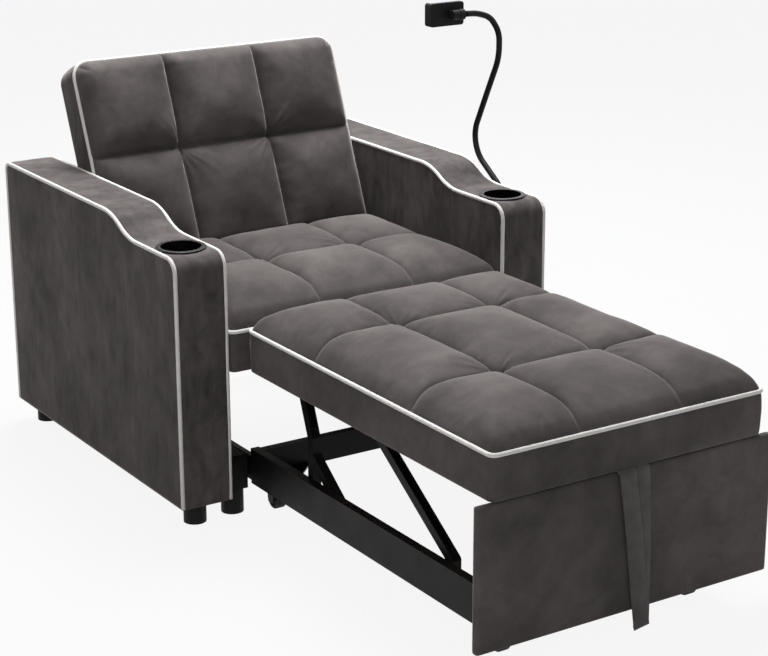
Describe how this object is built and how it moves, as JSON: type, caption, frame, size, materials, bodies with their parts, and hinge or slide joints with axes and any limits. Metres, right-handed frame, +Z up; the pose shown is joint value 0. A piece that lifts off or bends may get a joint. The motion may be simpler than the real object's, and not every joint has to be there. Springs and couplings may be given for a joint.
{
  "type": "convertible chair bed",
  "caption": "Upholstered armchair that converts to a bed: reclining back, pull-out frame with a lifting leg pad, cup holders in the arms and a phone holder on a gooseneck.",
  "frame": {"origin": "on the floor, below the middle of everything in the extended state, phone holder included", "axes": "+X to the sitter's left (the side of the phone holder), +Y from the bed end towards the backrest, +Z up"},
  "size_m": [0.8782, 1.5958, 0.931],
  "materials": {
    "velvet": "soft short pile",
    "piping": "off-white woven cord",
    "lining": "black non-woven cloth",
    "board": "plain",
    "black_steel": "satin black powder coat",
    "zinc": "plain",
    "black_plastic": "matte",
    "cup_plastic": "semi-gloss",
    "wheel_rubber": "matte",
    "black_beam": "black paint"
  },
  "bodies": {
    "chair": {"arm_cover_left": "velvet", "arm_cover_right": "velvet", "arm_frame_left": "board", "arm_frame_right": "board", "arm_piping_left": "piping", "arm_piping_right": "piping", "cup_holder_left": "cup_plastic", "cup_holder_right": "cup_plastic", "arm_feet": "black_plastic", "base_rails": "black_beam", "base_feet": "black_plastic", "guide_tongues": "black_steel", "rear_panel": "board", "seat_frame": "board", "seat_deck": "board", "seat_skirt": "velvet", "seat_cushion": "velvet", "seat_piping": "piping", "seat_brackets": "black_steel", "hinge_plates": "black_steel", "hinge_pins": "zinc", "phone_bracket": "black_steel", "base_bolts": "zinc"},
    "backrest": {"back_frame": "board", "back_cover": "velvet", "back_cushion": "velvet", "back_piping": "piping", "back_hinge_arms": "black_steel", "back_bolts": "zinc"},
    "bed_frame": {"sledge_rail_left": "black_steel", "sledge_rail_right": "black_steel", "rear_crossbar": "black_steel", "corner_braces": "black_steel", "front_panel_board": "board", "front_panel_cover": "velvet", "panel_brackets": "black_steel", "panel_bolts": "zinc", "pull_strap": "velvet", "pivot_brackets": "black_steel", "pivot_pins": "zinc", "caster_brackets": "black_steel"},
    "wheel_front_left": {"wheel_front_left": "wheel_rubber"},
    "wheel_front_right": {"wheel_front_right": "wheel_rubber"},
    "wheel_rear_left": {"wheel_rear_left": "wheel_rubber"},
    "wheel_rear_right": {"wheel_rear_right": "wheel_rubber"},
    "front_links": {"front_links": "black_steel"},
    "link_rollers": {"link_rollers": "black_plastic"},
    "rear_levers": {"rear_levers": "black_steel"},
    "leg_pad": {"pad_frame": "board", "pad_deck": "board", "pad_skirt": "velvet", "pad_cushion": "velvet", "pad_piping": "piping", "lever_plates": "black_steel", "roller_channels": "black_steel", "pad_bolts": "zinc"},
    "gooseneck": {"gooseneck": "black_steel"},
    "ball_nut": {"ball_nut": "black_plastic"},
    "phone_clamp": {"clamp_plate": "black_plastic"},
    "clamp_jaw": {"clamp_jaw": "black_plastic"}
  },
  "joints": [
    {"name": "back_recline", "type": "hinge", "parent": "chair", "child": "backrest", "pos_m": [-0.01188, 0.53468, 0.374], "axis": [-1, 0, 0], "range_deg": [0, 68]},
    {"name": "pull_out", "type": "slide", "parent": "chair", "child": "bed_frame", "axis": [0, -1, 0], "range_m": [0, 0.12]},
    {"name": "rear_lever_fold", "type": "hinge", "parent": "bed_frame", "child": "rear_levers", "pos_m": [-0.01188, -0.22632, 0.1], "axis": [-1, 0, 0], "range_deg": [-0.1, 40.11]},
    {"name": "front_link_fold", "type": "hinge", "parent": "bed_frame", "child": "front_links", "pos_m": [-0.01188, -0.59332, 0.095], "axis": [-1, 0, 0], "range_deg": [-0.1, 24.39]},
    {"name": "pad_level", "type": "hinge", "parent": "rear_levers", "child": "leg_pad", "pos_m": [-0.01188, -0.07933, 0.336], "axis": [1, 0, 0], "range_deg": [-0.1, 40.11]},
    {"name": "roller_spin", "type": "hinge", "parent": "front_links", "child": "link_rollers", "pos_m": [-0.01188, -0.28132, 0.336], "axis": [1, 0, 0], "continuous": true},
    {"name": "wheel_rear_left_spin", "type": "hinge", "parent": "bed_frame", "child": "wheel_rear_left", "pos_m": [-0.21688, 0.04267, 0.022], "axis": [1, 0, 0], "continuous": true},
    {"name": "wheel_rear_right_spin", "type": "hinge", "parent": "bed_frame", "child": "wheel_rear_right", "pos_m": [0.19312, 0.04267, 0.022], "axis": [1, 0, 0], "continuous": true},
    {"name": "wheel_front_left_spin", "type": "hinge", "parent": "bed_frame", "child": "wheel_front_left", "pos_m": [-0.21688, -0.70632, 0.022], "axis": [1, 0, 0], "continuous": true},
    {"name": "wheel_front_right_spin", "type": "hinge", "parent": "bed_frame", "child": "wheel_front_right", "pos_m": [0.19312, -0.70632, 0.022], "axis": [1, 0, 0], "continuous": true},
    {"name": "neck_swivel", "type": "hinge", "parent": "chair", "child": "gooseneck", "pos_m": [0.42812, 0.18368, 0.458], "axis": [0, 0, 1], "range_deg": [-90, 8]},
    {"name": "holder_pan", "type": "hinge", "parent": "gooseneck", "child": "ball_nut", "pos_m": [0.33313, 0.20867, 0.907], "axis": [0, 0, 1], "range_deg": [-20, 15]},
    {"name": "holder_tilt", "type": "hinge", "parent": "ball_nut", "child": "phone_clamp", "pos_m": [0.33313, 0.20867, 0.907], "axis": [1, 0, 0], "range_deg": [-25, 25]},
    {"name": "jaw_slide", "type": "slide", "parent": "phone_clamp", "child": "clamp_jaw", "axis": [-1, 0, 0], "range_m": [0, 0.025], "stiffness_N_per_m": 200, "springref_m": -0.01}
  ],
  "couplings": [
    {"joint": "rear_lever_fold", "follows": "pull_out", "rad_per_m": 5.8271},
    {"joint": "front_link_fold", "follows": "pull_out", "rad_per_m": 3.5398},
    {"joint": "pad_level", "follows": "pull_out", "rad_per_m": 5.8271}
  ]
}
